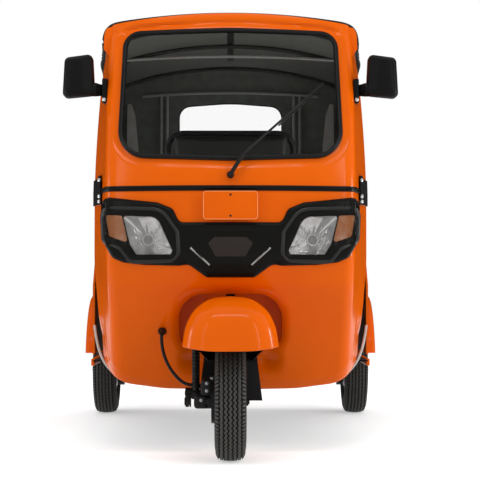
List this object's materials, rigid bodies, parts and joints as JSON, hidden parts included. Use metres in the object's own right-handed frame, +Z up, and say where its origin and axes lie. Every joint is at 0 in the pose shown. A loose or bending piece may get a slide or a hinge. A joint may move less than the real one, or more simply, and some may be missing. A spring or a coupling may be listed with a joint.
{
  "type": "auto rickshaw",
  "caption": "Three-wheeled passenger auto rickshaw with a pressed front cowl, raked windscreen, soft top on bows, steered front wheel and a hinged engine lid.",
  "frame": {"origin": "on the floor under the middle of the vehicle's box", "axes": "+Z up, the vehicle faces -Y, +X towards its left side, the longest extent along Y"},
  "size_m": [1.352, 2.65, 1.7279],
  "materials": {
    "body_paint": "gloss orange enamel",
    "black_plastic": "satin moulded",
    "black_metal": "satin black",
    "rubber_trim": "semi-gloss extruded",
    "tyre_rubber": "ribbed tread",
    "wheel_paint": "silver enamel",
    "clear_glass": "clear",
    "lamp_lens": "clear moulded",
    "amber_lens": "amber moulded",
    "red_lens": "red moulded",
    "reflector": "bright",
    "mirror_glass": "silvered",
    "seat_vinyl": "grained black",
    "canvas": "coated black canvas",
    "window_film": "clear film",
    "cast_metal": "as cast",
    "bright_steel": "plated",
    "inner_paint": "dark grey"
  },
  "bodies": {
    "body": {"front_cowl": "body_paint", "front_fascia": "black_plastic", "headlamp_lenses": "lamp_lens", "headlamp_reflectors": "reflector", "front_indicators": "amber_lens", "number_plates": "body_paint", "cowl_beading": "rubber_trim", "cowl_brackets": "black_metal", "windscreen_frame": "body_paint", "windscreen_glass": "clear_glass", "windscreen_seal": "rubber_trim", "wiper": "black_metal", "mirror_housings": "black_plastic", "mirror_glasses": "mirror_glass", "floor_pan": "inner_paint", "chassis_frame": "black_metal", "driver_seat_box": "inner_paint", "driver_cushion": "seat_vinyl", "partition_frame": "black_metal", "driver_backrest": "seat_vinyl", "rear_bench": "inner_paint", "passenger_cushion": "seat_vinyl", "passenger_backrest": "seat_vinyl", "rear_body": "body_paint", "canopy": "canvas", "rear_window": "window_film", "hood_frame": "black_metal", "tail_lamps": "red_lens", "rear_mud_flaps": "rubber_trim", "engine": "cast_metal", "rear_arms": "black_metal", "rear_struts": "bright_steel", "silencer": "bright_steel", "steering_head": "black_metal", "brake_hose": "rubber_trim"},
    "fork": {"fork_leg": "black_metal", "front_link": "cast_metal", "front_shock": "bright_steel", "front_mudguard": "body_paint", "front_mud_flap": "rubber_trim", "handlebar": "black_metal", "handle_grips": "rubber_trim", "instrument_pod": "black_plastic"},
    "front_wheel": {"front_tyre": "tyre_rubber", "front_rim": "wheel_paint"},
    "rear_left_wheel": {"rear_left_tyre": "tyre_rubber", "rear_left_rim": "wheel_paint"},
    "rear_right_wheel": {"rear_right_tyre": "tyre_rubber", "rear_right_rim": "wheel_paint"},
    "engine_lid": {"engine_lid": "body_paint"}
  },
  "joints": [
    {"name": "steering", "type": "hinge", "parent": "body", "child": "fork", "pos_m": [0, -0.92223, 0.6], "axis": [0, 0.2588, 0.9659], "range_deg": [-35, 35], "deforming": ["brake_hose"]},
    {"name": "front_wheel_roll", "type": "hinge", "parent": "fork", "child": "front_wheel", "pos_m": [0, -1.063, 0.21], "axis": [1, 0, 0], "continuous": true},
    {"name": "rear_left_wheel_roll", "type": "hinge", "parent": "body", "child": "rear_left_wheel", "pos_m": [0.602, 0.922, 0.21], "axis": [1, 0, 0], "continuous": true},
    {"name": "rear_right_wheel_roll", "type": "hinge", "parent": "body", "child": "rear_right_wheel", "pos_m": [-0.602, 0.922, 0.21], "axis": [1, 0, 0], "continuous": true},
    {"name": "engine_lid_hinge", "type": "hinge", "parent": "body", "child": "engine_lid", "pos_m": [0, 1.317, 0.692], "axis": [1, 0, 0], "range_deg": [0, 75]}
  ]
}
